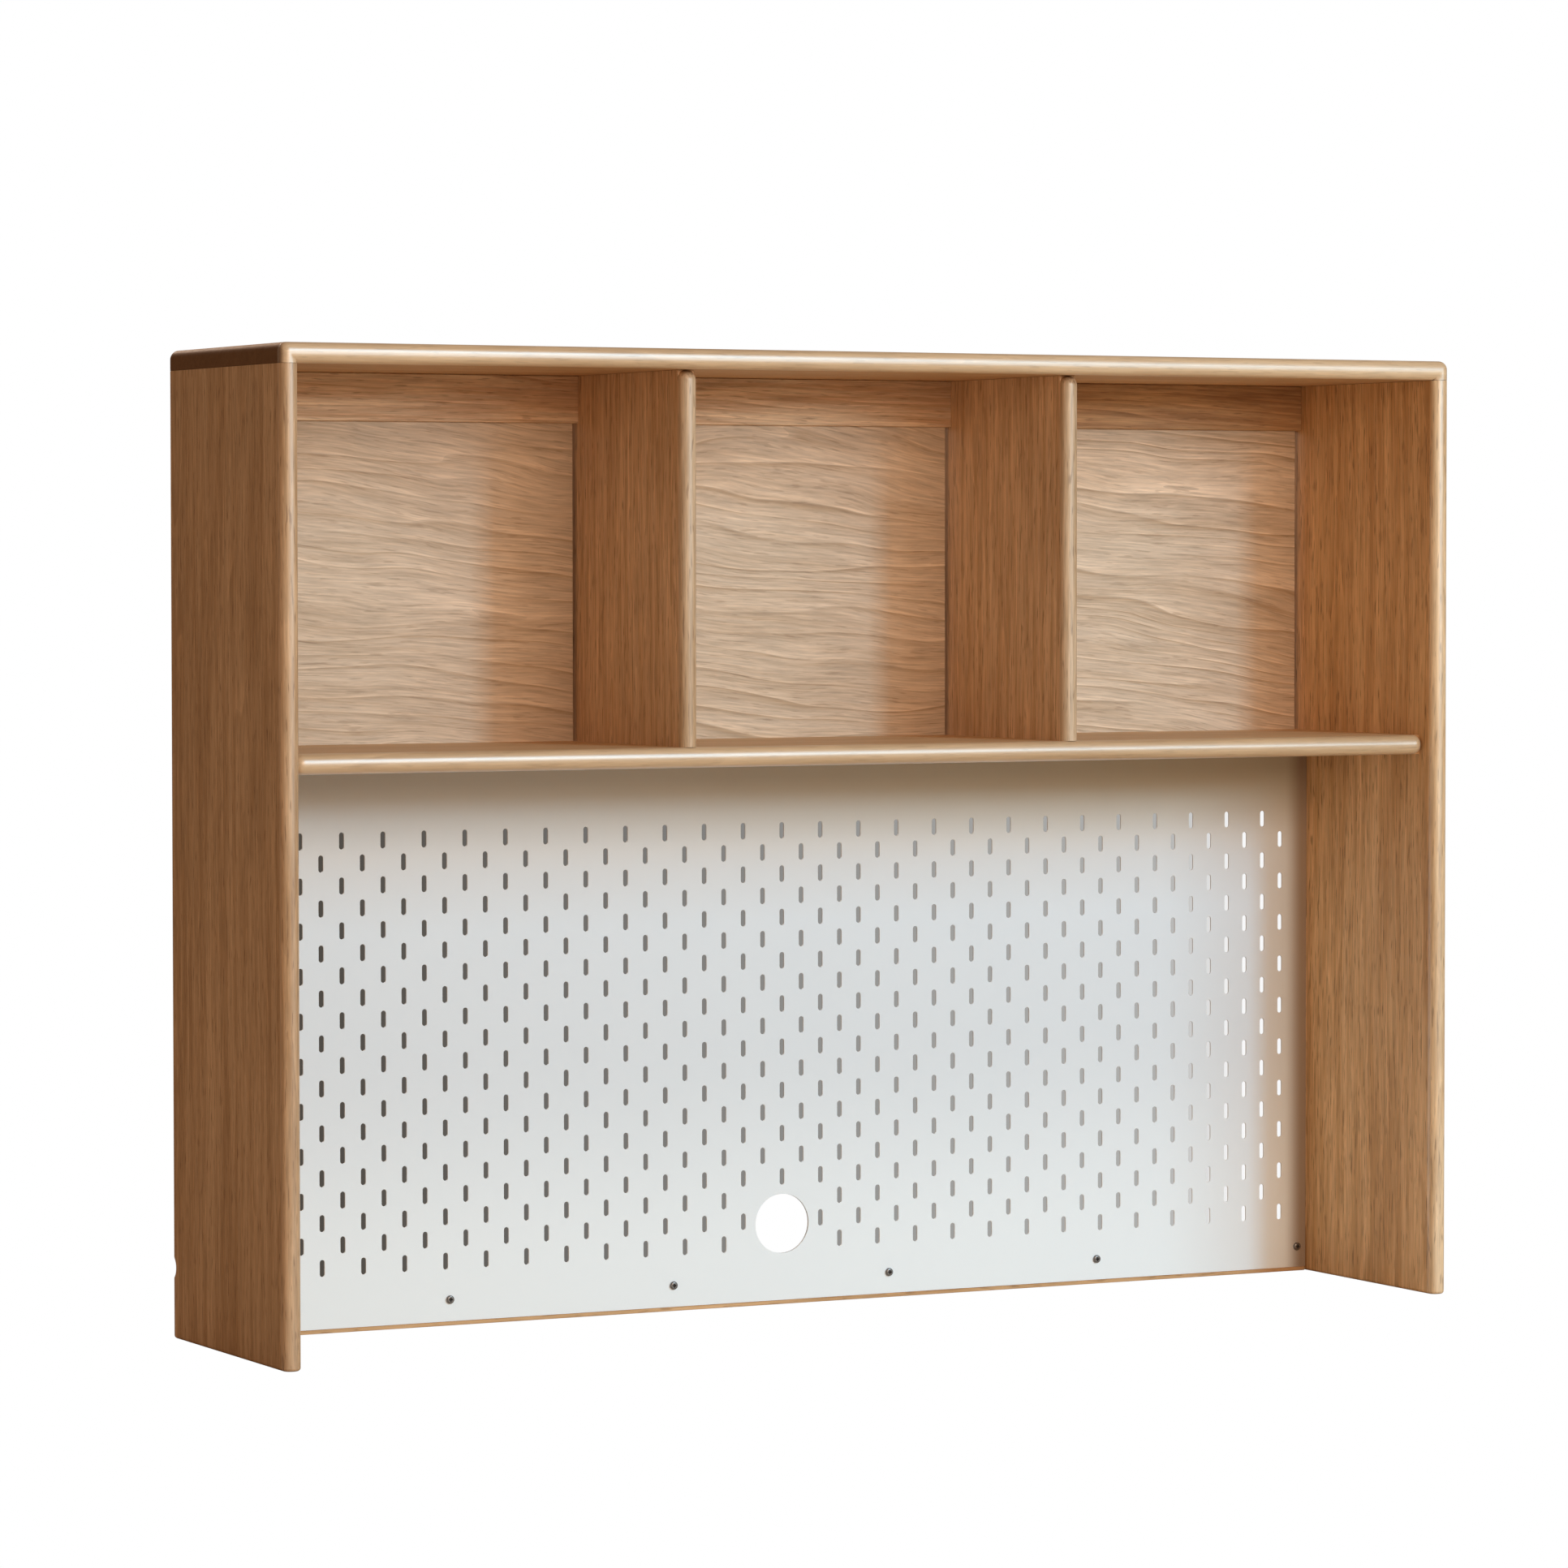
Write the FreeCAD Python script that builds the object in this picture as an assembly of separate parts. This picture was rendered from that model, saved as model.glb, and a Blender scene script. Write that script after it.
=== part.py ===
import FreeCAD, Part
import math
import os

# Desk-top hutch of a study carrel: a rounded wooden case with three open bays over a slotted steel pegboard.
# Frame, in millimetres: +X to the right as seen from the front, +Y to the rear, +Z up. The origin is under
# the middle of the case, on the surface that the two side panels stand on.

Vector = FreeCAD.Vector
ALONG_X = Vector(1, 0, 0)
ALONG_Y = Vector(0, 1, 0)
ALONG_Z = Vector(0, 0, 1)

# Case
case_width = 1175.0
case_depth = 260.0
case_height = 872.0
side_thickness = 17.0
top_thickness = 18.0
case_round = 8.0
rear_inner_round = 1.5
foot_round = 3.0
largest_round_share = 0.48

# Cable notch in the rear edge of each side panel
notch_radius = 11.0
notch_rise = 8.0

# Main shelf
shelf_underside = 505.5
shelf_thickness = 18.0
shelf_setback = 15.0
shelf_nose_round = 8.5
shelf_corner_round = 10.0

# Dividers between the three bays
divider_thickness = 16.0
divider_setback = 20.0
divider_nose_round = 7.5
divider_corner_round = 9.0
corner_overrun = 0.3

# Back of the upper bays: a rail and a loose panel in each bay
rear_inset = 10.5
back_rail_height = 42.5
back_rail_thickness = 18.0
rail_round = 1.0
panel_thickness = 9.0
panel_rebate = 6.5
panel_side_gap = 3.0
panel_round = 0.6
tongue_thickness = 5.0
tongue_length = 6.0

# Pegboard
pegboard_inset = 40.0
sheet_thickness = 1.5
sheet_side_gap = 0.5
sheet_lift = 4.0
sheet_tuck = 5.0
slot_pitch = 20.0
slot_length = 15.2
slot_width = 4.6
slot_edge_margin = 25.0
slot_head_gap = 11.4
slot_foot_gap = 5.0
cable_hole_radius = 27.5
cable_hole_rise = 3.5
cable_hole_land = 10.0

# Rails that the pegboard lies against
batten_thickness = 18.0
foot_batten_height = 44.0
shelf_batten_height = 48.0

# Screws along the foot of the pegboard
screw_end_inset = 10.5
screw_count = 6
screw_radius = 2.0
screw_length = 16.0
screw_head_radius = 3.8
screw_head_height = 2.4
screw_head_round = 1.4
screw_tip_chamfer = 1.2
screw_hole_clearance = 0.2
driver_slot_width = 1.3
driver_slot_depth = 1.2

# Dowels, the clearance round every piece that sits in a hole or a groove, and how far cuts run past a face
fit_clearance = 0.1
dowel_radius = 4.0
dowel_round = 0.6
dowel_in_face = 12.0
dowel_in_end = 20.0
dowel_bottom_gap = 0.5
groove_clearance = 0.2
overcut = 1.0

# Knock-down fittings: a bolt in one panel, and a cam that draws on it in the other
bolt_thread_radius = 3.0
bolt_thread_length = 11.0
bolt_neck_radius = 2.4
bolt_head_radius = 3.4
bolt_head_length = 3.0
bolt_reach = 24.0
bolt_passage_clearance = 0.4
shelf_cam_radius = 7.5
shelf_cam_depth = 12.5
batten_cam_radius = 6.0
batten_cam_depth = 12.5
cam_hollow_clearance = 0.3
cam_bottom_gap = 0.2
cam_key_share = 1.3
cap_radius = 8.5
cap_thickness = 1.0

# Long screws up through the shelf into the dividers
long_screw_radius = 2.5
long_screw_length = 50.0
long_screw_head_radius = 4.8
long_screw_head_height = 3.0

# Threaded inserts in the feet of the side panels
insert_radius = 5.0
insert_length = 15.0
insert_bore_radius = 2.5
insert_lip_radius = 6.5
insert_lip_thickness = 1.2
insert_recess = 0.3

# Places of the fittings, from the edges of the pieces that they join
side_dowel_front_inset = 48.0
side_dowel_rear_inset = 48.0
divider_dowel_front_inset = 34.0
divider_dowel_rear_inset = 48.0
long_screw_front_inset = 52.0
long_screw_rear_inset = 25.0
shelf_dowel_front_inset = 29.0
shelf_dowel_rear_inset = 27.0
shelf_cam_front_inset = 63.0
shelf_cam_rear_inset = 59.0
insert_inset = 46.0
back_rail_dowel_inset = 90.0
batten_dowel_rise = 12.5
batten_bolt_drop = 9.0

# Planes and lengths that follow from the sizes above
half_width = case_width / 2
inner_half = half_width - side_thickness
front = -case_depth / 2
rear = case_depth / 2
inner_rear = rear - rear_inset
top_underside = case_height - top_thickness
shelf_top = shelf_underside + shelf_thickness
shelf_front = front + shelf_setback
divider_front = front + divider_setback
bay_width = (2 * inner_half - 2 * divider_thickness) / 3
divider_middle = bay_width / 2 + divider_thickness / 2
back_rail_front = inner_rear - back_rail_thickness
back_rail_bottom = top_underside - back_rail_height
panel_front = back_rail_front + panel_rebate
tongue_front = panel_front + (panel_thickness - tongue_thickness) / 2
sheet_front = rear - pegboard_inset
sheet_rear = sheet_front + sheet_thickness
sheet_half = inner_half - sheet_side_gap
side_middle = half_width - side_thickness / 2
cable_hole_height = foot_batten_height + cable_hole_rise + cable_hole_radius
notch_height = foot_batten_height + notch_rise + notch_radius
screw_height = (batten_dowel_rise + foot_batten_height - batten_bolt_drop) / 2
side_dowel_places = (
    front + side_dowel_front_inset,
    (side_dowel_front_inset - side_dowel_rear_inset) / 2,
    rear - side_dowel_rear_inset,
)
divider_dowel_places = (divider_front + divider_dowel_front_inset, inner_rear - divider_dowel_rear_inset)
long_screw_places = (divider_front + long_screw_front_inset, sheet_front - long_screw_rear_inset)
divider_foot_dowel_place = sum(long_screw_places) / 2
shelf_dowel_places = (shelf_front + shelf_dowel_front_inset, sheet_front - shelf_dowel_rear_inset)
shelf_cam_places = (shelf_front + shelf_cam_front_inset, sheet_front - shelf_cam_rear_inset)
insert_places = (front + insert_inset, rear - insert_inset)


def box(x, y, z):
    """A block between two X values, two Y values and two Z values."""
    corner = Vector(x[0], y[0], z[0])
    return Part.makeBox(x[1] - x[0], y[1] - y[0], z[1] - z[0], corner)


def rod(start, direction, radius, length):
    """A round bar or bore that runs from start along direction."""
    return Part.makeCylinder(radius, length, start, direction)


def one_solid(shape):
    """The single solid that a cut or a common leaves."""
    return shape.Solids[0]


def cut_all(solid, tools):
    """The solid with every tool cut away."""
    return one_solid(solid.cut(tools)) if tools else solid


def edges_on(shape, **planes):
    """Edges that lie wholly on the stated planes, such as x=10 or z=0."""
    found = []
    for edge in shape.Edges:
        bounds = edge.BoundBox
        spans = {
            "x": (bounds.XMin, bounds.XMax),
            "y": (bounds.YMin, bounds.YMax),
            "z": (bounds.ZMin, bounds.ZMax),
        }
        if all(abs(end - value) < 1e-4 for axis, value in planes.items() for end in spans[axis]):
            found.append(edge)
    return found


def save(name, *solids):
    """Writes one node, which is one solid or a group of like solids."""
    shape = solids[0] if len(solids) == 1 else Part.makeCompound(list(solids))
    shape.exportStep(os.path.join("parts", name + ".step"))
    print(f"{name}: {len(solids)} solid(s), {shape.Volume / 1000:.1f} cm3")


# Dowels: each is turned along its own axis, with rounded ends

def dowel(start, direction, length):
    pin = rod(start, direction, dowel_radius, length)
    ends = [edge for edge in pin.Edges if edge.Closed]
    return pin.makeFillet(dowel_round, ends)


def dowel_joint(meeting, direction):
    """A dowel across the plane where two panels meet, and its two bores.

    direction points into the panel that is bored in its face; the other one is bored in its end.
    """
    start = meeting - direction * dowel_in_end
    pin = dowel(start, direction, dowel_in_end + dowel_in_face)
    bore_radius = dowel_radius + fit_clearance
    face_bore = rod(meeting, direction, bore_radius, dowel_in_face + dowel_bottom_gap)
    end_bore = rod(meeting, direction * -1, bore_radius, dowel_in_end + dowel_bottom_gap)
    return pin, face_bore, end_bore


# Cam fittings

def cam_bolt(meeting, direction):
    """A bolt that screws into a face, with its neck and head standing out of it."""
    thread = rod(meeting, direction, bolt_thread_radius, bolt_thread_length)
    neck = rod(meeting, direction * -1, bolt_neck_radius, bolt_reach)
    head_start = meeting - direction * (bolt_reach - bolt_head_length)
    head = rod(head_start, direction * -1, bolt_head_radius, bolt_head_length)
    return one_solid(thread.fuse([neck, head]).removeSplitter())


def cam_bolt_bores(meeting, direction):
    """The bolt's hole in the face, and its passage in the other panel's end."""
    thread_bore = rod(
        meeting, direction, bolt_thread_radius + fit_clearance, bolt_thread_length + dowel_bottom_gap
    )
    passage = rod(meeting, direction * -1, bolt_head_radius + bolt_passage_clearance, bolt_reach)
    return thread_bore, passage


def cam(mouth, inward, bolt_direction, radius, depth, bolt_depth):
    """A turned cam housing with its key cross, and the hollow that lets the bolt's head in."""
    body = rod(mouth, inward, radius, depth)
    bolt_end = mouth + inward * bolt_depth
    hollow_radius = bolt_head_radius + cam_hollow_clearance
    hollow = rod(bolt_end - bolt_direction * hollow_radius, bolt_direction, hollow_radius, 2 * radius)
    across = bolt_direction.cross(inward)
    key = [driver_bar(mouth, inward, arm, radius * cam_key_share) for arm in (bolt_direction, across)]
    return cut_all(body, [hollow] + key)


def driver_bar(centre, inward, arm, length):
    """One bar of a cross recess, sunk from centre."""
    side = arm.cross(inward)
    corners = []
    for along, across in ((-1, -1), (1, -1), (1, 1), (-1, 1)):
        corner = centre + arm * (along * length / 2) + side * (across * driver_slot_width / 2)
        corners.append(corner)
    outline = Part.Face(Part.makePolygon(corners + corners[:1]))
    return outline.extrude(inward * driver_slot_depth)


# Each panel's bores and grooves are gathered here while the pieces that sit in them are made

cuts = {
    "left_side": [], "right_side": [], "top": [], "shelf": [],
    "left_divider": [], "right_divider": [],
    "left_back_rail": [], "centre_back_rail": [], "right_back_rail": [],
    "foot_batten": [], "shelf_batten": [],
}
sides = (("left_side", -1), ("right_side", 1))
dividers = (("left_divider", -1), ("right_divider", 1))


# Case: the sides and the top are rounded as one ring, so that the mouldings meet at the corners, then parted

past_both_faces = (front - overcut, rear + overcut)
past_right = half_width + overcut


def case_ring():
    ring = box((-half_width, half_width), (front, rear), (0, case_height))
    opening = box((-inner_half, inner_half), past_both_faces, (-overcut, top_underside))
    ring = one_solid(ring.cut(opening))
    full = min(case_round, largest_round_share * side_thickness, largest_round_share * top_thickness)
    rounded = edges_on(ring, y=front, z=case_height) + edges_on(ring, y=rear, z=case_height)
    rounded += edges_on(ring, y=front, z=top_underside)
    for side in (-1, 1):
        rounded += edges_on(ring, x=side * half_width, z=case_height)
        rounded += edges_on(ring, x=side * half_width, y=front)
        rounded += edges_on(ring, x=side * half_width, y=rear)
        rounded += edges_on(ring, x=side * inner_half, y=front)
    ring = ring.makeFillet(full, rounded)
    eased = edges_on(ring, y=rear, z=top_underside)
    for side in (-1, 1):
        eased += edges_on(ring, x=side * inner_half, y=rear)
    return ring.makeFillet(rear_inner_round, eased)


ring = case_ring()
below_top = (-overcut, top_underside)
above_sides = (top_underside, case_height + overcut)
left_blank = one_solid(ring.common(box((-past_right, 0), past_both_faces, below_top)))
right_blank = one_solid(ring.common(box((0, past_right), past_both_faces, below_top)))
top_panel = one_solid(ring.common(box((-past_right, past_right), past_both_faces, above_sides)))


def side_panel(blank, side):
    """A side with its foot eased and its cable notch cut."""
    eased = blank.makeFillet(foot_round, edges_on(blank, z=0))
    centre = Vector(side * (inner_half - overcut), rear, notch_height)
    notch = rod(centre, ALONG_X * side, notch_radius, side_thickness + 2 * overcut)
    return one_solid(eased.cut(notch))


side_panels = {
    "left_side": side_panel(left_blank, -1),
    "right_side": side_panel(right_blank, 1),
}

# Round noses: the moulded front edge of the shelf and of the dividers


def nose_section(axis_point, across, thickness, radius, reach):
    """A board's section from axis_point forward by reach, with both front corners rounded."""
    half = thickness / 2
    shoulder = reach - radius
    arc_inset = radius * (1 - math.sqrt(0.5))

    def at(forward, side):
        return axis_point - ALONG_Y * forward + across * side

    low = (at(shoulder, -half), at(reach - arc_inset, arc_inset - half), at(reach, radius - half))
    high = (at(reach, half - radius), at(reach - arc_inset, half - arc_inset), at(shoulder, half))
    return Part.Face(Part.Wire([
        Part.LineSegment(at(0, -half), low[0]).toShape(),
        Part.Arc(*low).toShape(),
        Part.LineSegment(low[2], high[0]).toShape(),
        Part.Arc(*high).toShape(),
        Part.LineSegment(high[2], at(0, half)).toShape(),
        Part.LineSegment(at(0, half), at(0, -half)).toShape(),
    ]))


# Main shelf: its nose turns back at both front corners, just before it meets the sides

def shelf_board():
    nose = min(shelf_nose_round, largest_round_share * shelf_thickness)
    turn_x = inner_half - shelf_corner_round + corner_overrun
    turn_y = shelf_front + shelf_corner_round
    level = shelf_underside + shelf_thickness / 2
    start = Vector(-turn_x, turn_y, level)
    section = nose_section(start, ALONG_Z, shelf_thickness, nose, shelf_corner_round)
    span = ALONG_X * (2 * turn_x)
    straight = section.extrude(span)
    left_turn = section.revolve(start, ALONG_Z, -90)
    right_turn = section.translated(span).revolve(start + span, ALONG_Z, 90)
    heights = (shelf_underside, shelf_top)
    body = box((-inner_half, inner_half), (turn_y, inner_rear), heights)
    board = body.fuse([straight, left_turn, right_turn])
    depth = (shelf_front - overcut, inner_rear + overcut)
    between_sides = box((-inner_half, inner_half), depth, (0, case_height))
    return one_solid(board.common(between_sides)).removeSplitter()


# Dividers: each nose turns back at its head, just before it meets the top

def divider_board(side):
    nose = min(divider_nose_round, largest_round_share * divider_thickness)
    middle_x = side * divider_middle
    turn_y = divider_front + divider_corner_round
    turn_z = top_underside - divider_corner_round + corner_overrun
    foot = Vector(middle_x, turn_y, shelf_top)
    head = Vector(middle_x, turn_y, turn_z)
    section = nose_section(foot, ALONG_X, divider_thickness, nose, divider_corner_round)
    straight = section.extrude(ALONG_Z * (turn_z - shelf_top))
    turned = section.translated(head - foot).revolve(head, ALONG_X, -90)
    x = (middle_x - divider_thickness / 2, middle_x + divider_thickness / 2)
    body = box(x, (turn_y, inner_rear), (shelf_top, top_underside))
    board = body.fuse([straight, turned])
    width = (x[0] - overcut, x[1] + overcut)
    depth = (divider_front - overcut, inner_rear + overcut)
    return one_solid(board.common(box(width, depth, (0, top_underside)))).removeSplitter()


shelf = shelf_board()
divider_boards = {name: divider_board(side) for name, side in dividers}

# Backs of the three bays: a rail under the top, and a panel with a tongue at its head and foot

bays = (
    ("left", -inner_half, -divider_middle - divider_thickness / 2),
    ("centre", -divider_middle + divider_thickness / 2, divider_middle - divider_thickness / 2),
    ("right", divider_middle + divider_thickness / 2, inner_half),
)
back_rails = {}
back_panels = {}
for bay, low_x, high_x in bays:
    rail = box((low_x, high_x), (back_rail_front, inner_rear), (back_rail_bottom, top_underside))
    eased = edges_on(rail, y=back_rail_front, z=back_rail_bottom)
    eased += edges_on(rail, x=low_x, y=back_rail_front) + edges_on(rail, x=high_x, y=back_rail_front)
    back_rails[bay] = rail.makeFillet(rail_round, eased)

    field_x = (low_x + panel_side_gap, high_x - panel_side_gap)
    field = box(field_x, (panel_front, panel_front + panel_thickness), (shelf_top, back_rail_bottom))
    eased = edges_on(field, x=field_x[0], y=panel_front) + edges_on(field, x=field_x[1], y=panel_front)
    field = field.makeFillet(panel_round, eased)
    tongue_y = (tongue_front, tongue_front + tongue_thickness)
    tongue = box(field_x, tongue_y, (shelf_top - tongue_length, back_rail_bottom + tongue_length))
    back_panels[bay] = one_solid(field.fuse(tongue).removeSplitter())

    groove_y = (tongue_y[0] - groove_clearance, tongue_y[1] + groove_clearance)
    groove_depth = tongue_length + dowel_bottom_gap
    rail_groove_z = (back_rail_bottom - overcut, back_rail_bottom + groove_depth)
    cuts[bay + "_back_rail"].append(box((low_x - overcut, high_x + overcut), groove_y, rail_groove_z))
    shelf_groove_z = (shelf_top - groove_depth, shelf_top + overcut)
    groove_x = (field_x[0] - groove_clearance, field_x[1] + groove_clearance)
    cuts["shelf"].append(box(groove_x, groove_y, shelf_groove_z))

# Rails behind the pegboard, one on the desk and one under the shelf

battens = {
    "foot_batten": (0.0, foot_batten_height),
    "shelf_batten": (shelf_underside - shelf_batten_height, shelf_underside),
}
batten_y = (sheet_rear, sheet_rear + batten_thickness)
batten_boards = {name: box((-inner_half, inner_half), batten_y, z) for name, z in battens.items()}

# Pegboard: one flat sheet, blanked with its slots and holes, whose head is tucked into the shelf


def slot_wire(x, z):
    """A vertical slot with round ends, in the sheet's front plane."""
    radius = slot_width / 2
    rise = slot_length / 2 - radius
    left_low, right_low = (Vector(x + reach, sheet_front, z - rise) for reach in (-radius, radius))
    left_high, right_high = (Vector(x + reach, sheet_front, z + rise) for reach in (-radius, radius))
    return Part.Wire([
        Part.LineSegment(left_low, left_high).toShape(),
        Part.Arc(left_high, Vector(x, sheet_front, z + rise + radius), right_high).toShape(),
        Part.LineSegment(right_high, right_low).toShape(),
        Part.Arc(right_low, Vector(x, sheet_front, z - rise - radius), left_low).toShape(),
    ])


def round_wire(x, z, radius):
    return Part.Wire(Part.makeCircle(radius, Vector(x, sheet_front, z), ALONG_Y))


def slot_places():
    """Staggered slots: even columns on even rows and odd columns on odd rows, clear of the cable hole."""
    top_row = shelf_underside - shelf_batten_height - slot_head_gap - slot_length / 2
    lowest = foot_batten_height + slot_foot_gap + slot_length / 2
    columns = int((inner_half - slot_edge_margin) / slot_pitch)
    rows = int((top_row - lowest) / slot_pitch) + 1
    places = []
    for row in range(rows):
        z = top_row - row * slot_pitch
        for column in range(-columns, columns + 1):
            x = column * slot_pitch
            staggered = (row + column) % 2 == 0
            from_hole = math.hypot(x, z - cable_hole_height)
            if staggered and from_hole > cable_hole_radius + cable_hole_land:
                places.append((x, z))
    return places


sheet_low = sheet_lift
sheet_high = shelf_underside + sheet_tuck
screw_spacing = 2 * (inner_half - screw_end_inset) / (screw_count - 1)
screw_places = [(number - (screw_count - 1) / 2) * screw_spacing for number in range(screw_count)]


def pegboard():
    corners = [
        Vector(-sheet_half, sheet_front, sheet_low),
        Vector(sheet_half, sheet_front, sheet_low),
        Vector(sheet_half, sheet_front, sheet_high),
        Vector(-sheet_half, sheet_front, sheet_high),
    ]
    outline = Part.makePolygon(corners + corners[:1])
    holes = [slot_wire(x, z) for x, z in slot_places()]
    holes += [round_wire(x, screw_height, screw_radius + screw_hole_clearance) for x in screw_places]
    holes.append(round_wire(0, cable_hole_height, cable_hole_radius))
    blank = Part.Face([outline] + holes, "Part::FaceMakerCheese")
    return blank.extrude(ALONG_Y * sheet_thickness)


cuts["shelf"].append(
    box(
        (-inner_half, inner_half),
        (sheet_front - groove_clearance, sheet_rear + groove_clearance),
        (shelf_underside - overcut, sheet_high + dowel_bottom_gap),
    )
)


# Screws of the pegboard: pan heads with a cross recess

def pan_screw(x):
    shank = rod(Vector(x, sheet_front, screw_height), ALONG_Y, screw_radius, screw_length)
    shank = shank.makeChamfer(screw_tip_chamfer, edges_on(shank, y=sheet_front + screw_length))
    seat = Vector(x, sheet_front, screw_height)
    head = rod(seat, ALONG_Y * -1, screw_head_radius, screw_head_height)
    rim = edges_on(head, y=sheet_front - screw_head_height)
    head = head.makeFillet(screw_head_round, rim)
    screw = one_solid(shank.fuse(head))
    face = seat - ALONG_Y * screw_head_height
    key = [driver_bar(face, ALONG_Y, arm, screw_head_radius) for arm in (ALONG_X, ALONG_Z)]
    return cut_all(screw, key)


pegboard_screws = [pan_screw(x) for x in screw_places]
for x in screw_places:
    pilot_length = screw_length - sheet_thickness + dowel_bottom_gap
    start = Vector(x, sheet_rear, screw_height)
    cuts["foot_batten"].append(rod(start, ALONG_Y, screw_radius + fit_clearance, pilot_length))

# Top: dowelled down onto the sides, the dividers and the back rails

top_dowels = []
for name, side in sides:
    for y in side_dowel_places:
        pin, face_bore, end_bore = dowel_joint(Vector(side * side_middle, y, top_underside), ALONG_Z)
        top_dowels.append(pin)
        cuts["top"].append(face_bore)
        cuts[name].append(end_bore)
for name, side in dividers:
    for y in divider_dowel_places:
        pin, face_bore, end_bore = dowel_joint(Vector(side * divider_middle, y, top_underside), ALONG_Z)
        top_dowels.append(pin)
        cuts["top"].append(face_bore)
        cuts[name].append(end_bore)

back_rail_dowels = []
rail_middle = (back_rail_front + inner_rear) / 2
for bay, low_x, high_x in bays:
    for x in (low_x + back_rail_dowel_inset, high_x - back_rail_dowel_inset):
        pin, face_bore, end_bore = dowel_joint(Vector(x, rail_middle, top_underside), ALONG_Z)
        back_rail_dowels.append(pin)
        cuts["top"].append(face_bore)
        cuts[bay + "_back_rail"].append(end_bore)

# Shelf: dowelled and drawn up to the sides by cams in its underside

shelf_middle = shelf_underside + shelf_thickness / 2
shelf_dowels = []
shelf_cam_bolts = []
shelf_cams = []
cam_caps = []
for name, side in sides:
    outward = ALONG_X * side
    for y in shelf_dowel_places:
        pin, face_bore, end_bore = dowel_joint(Vector(side * inner_half, y, shelf_middle), outward)
        shelf_dowels.append(pin)
        cuts[name].append(face_bore)
        cuts["shelf"].append(end_bore)
    for y in shelf_cam_places:
        meeting = Vector(side * inner_half, y, shelf_middle)
        shelf_cam_bolts.append(cam_bolt(meeting, outward))
        thread_bore, passage = cam_bolt_bores(meeting, outward)
        cuts[name].append(thread_bore)
        cam_x = side * (inner_half - bolt_reach)
        mouth = Vector(cam_x, y, shelf_underside)
        pocket = rod(mouth, ALONG_Z, shelf_cam_radius + fit_clearance, shelf_cam_depth + cam_bottom_gap)
        cuts["shelf"] += [passage, pocket]
        shelf_cams.append(
            cam(mouth, ALONG_Z, outward, shelf_cam_radius, shelf_cam_depth, shelf_thickness / 2)
        )
        cam_caps.append(rod(mouth, ALONG_Z * -1, cap_radius, cap_thickness))

# Battens: one dowel and one cam fitting at each end, with the cams in the rear face

batten_dowels = []
batten_cam_bolts = []
batten_cams = []
batten_middle = sheet_rear + batten_thickness / 2
batten_rear = sheet_rear + batten_thickness
for batten, (low_z, high_z) in battens.items():
    for name, side in sides:
        outward = ALONG_X * side
        meeting = Vector(side * inner_half, batten_middle, low_z + batten_dowel_rise)
        pin, face_bore, end_bore = dowel_joint(meeting, outward)
        batten_dowels.append(pin)
        cuts[name].append(face_bore)
        cuts[batten].append(end_bore)
        meeting = Vector(side * inner_half, batten_middle, high_z - batten_bolt_drop)
        batten_cam_bolts.append(cam_bolt(meeting, outward))
        thread_bore, passage = cam_bolt_bores(meeting, outward)
        cuts[name].append(thread_bore)
        mouth = Vector(side * (inner_half - bolt_reach), batten_rear, meeting.z)
        pocket_radius = batten_cam_radius + fit_clearance
        pocket = rod(mouth, ALONG_Y * -1, pocket_radius, batten_cam_depth + cam_bottom_gap)
        cuts[batten] += [passage, pocket]
        batten_cams.append(
            cam(mouth, ALONG_Y * -1, outward, batten_cam_radius, batten_cam_depth, batten_thickness / 2)
        )

# Dividers stand on the shelf: a dowel each, and two long screws from below


def long_screw(x, y):
    seat = Vector(x, y, shelf_underside)
    shank = rod(seat, ALONG_Z, long_screw_radius, long_screw_length)
    head = Part.makeCone(long_screw_head_radius, long_screw_radius, long_screw_head_height, seat, ALONG_Z)
    screw = one_solid(shank.fuse(head).removeSplitter())
    key = [driver_bar(seat, ALONG_Z, arm, long_screw_head_radius) for arm in (ALONG_X, ALONG_Y)]
    return cut_all(screw, key)


divider_foot_dowels = []
divider_screws = []
for name, side in dividers:
    x = side * divider_middle
    meeting = Vector(x, divider_foot_dowel_place, shelf_top)
    pin, face_bore, end_bore = dowel_joint(meeting, ALONG_Z * -1)
    divider_foot_dowels.append(pin)
    cuts["shelf"].append(face_bore)
    cuts[name].append(end_bore)
    for y in long_screw_places:
        divider_screws.append(long_screw(x, y))
        seat = Vector(x, y, shelf_underside)
        bore_radius = long_screw_radius + fit_clearance
        cuts["shelf"].append(rod(seat, ALONG_Z, bore_radius, shelf_thickness))
        cuts["shelf"].append(
            Part.makeCone(
                long_screw_head_radius + fit_clearance, bore_radius, long_screw_head_height, seat, ALONG_Z
            )
        )
        pilot_length = long_screw_length - shelf_thickness + dowel_bottom_gap
        cuts[name].append(rod(Vector(x, y, shelf_top), ALONG_Z, bore_radius, pilot_length))


# Threaded inserts in the feet, for bolts that come up through a desk top

def foot_insert(x, y):
    low = Vector(x, y, insert_recess)
    body = rod(low, ALONG_Z, insert_radius, insert_length)
    lip = rod(low, ALONG_Z, insert_lip_radius, insert_lip_thickness)
    bore = rod(low, ALONG_Z, insert_bore_radius, insert_length)
    return one_solid(body.fuse(lip).removeSplitter().cut(bore))


foot_inserts = []
for name, side in sides:
    for y in insert_places:
        x = side * side_middle
        foot_inserts.append(foot_insert(x, y))
        low = Vector(x, y, -overcut)
        lip_depth = overcut + insert_recess + insert_lip_thickness
        body_depth = overcut + insert_recess + insert_length + dowel_bottom_gap
        cuts[name].append(rod(low, ALONG_Z, insert_lip_radius + fit_clearance, lip_depth))
        cuts[name].append(rod(low, ALONG_Z, insert_radius + fit_clearance, body_depth))

# Every node is cut and written

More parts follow.
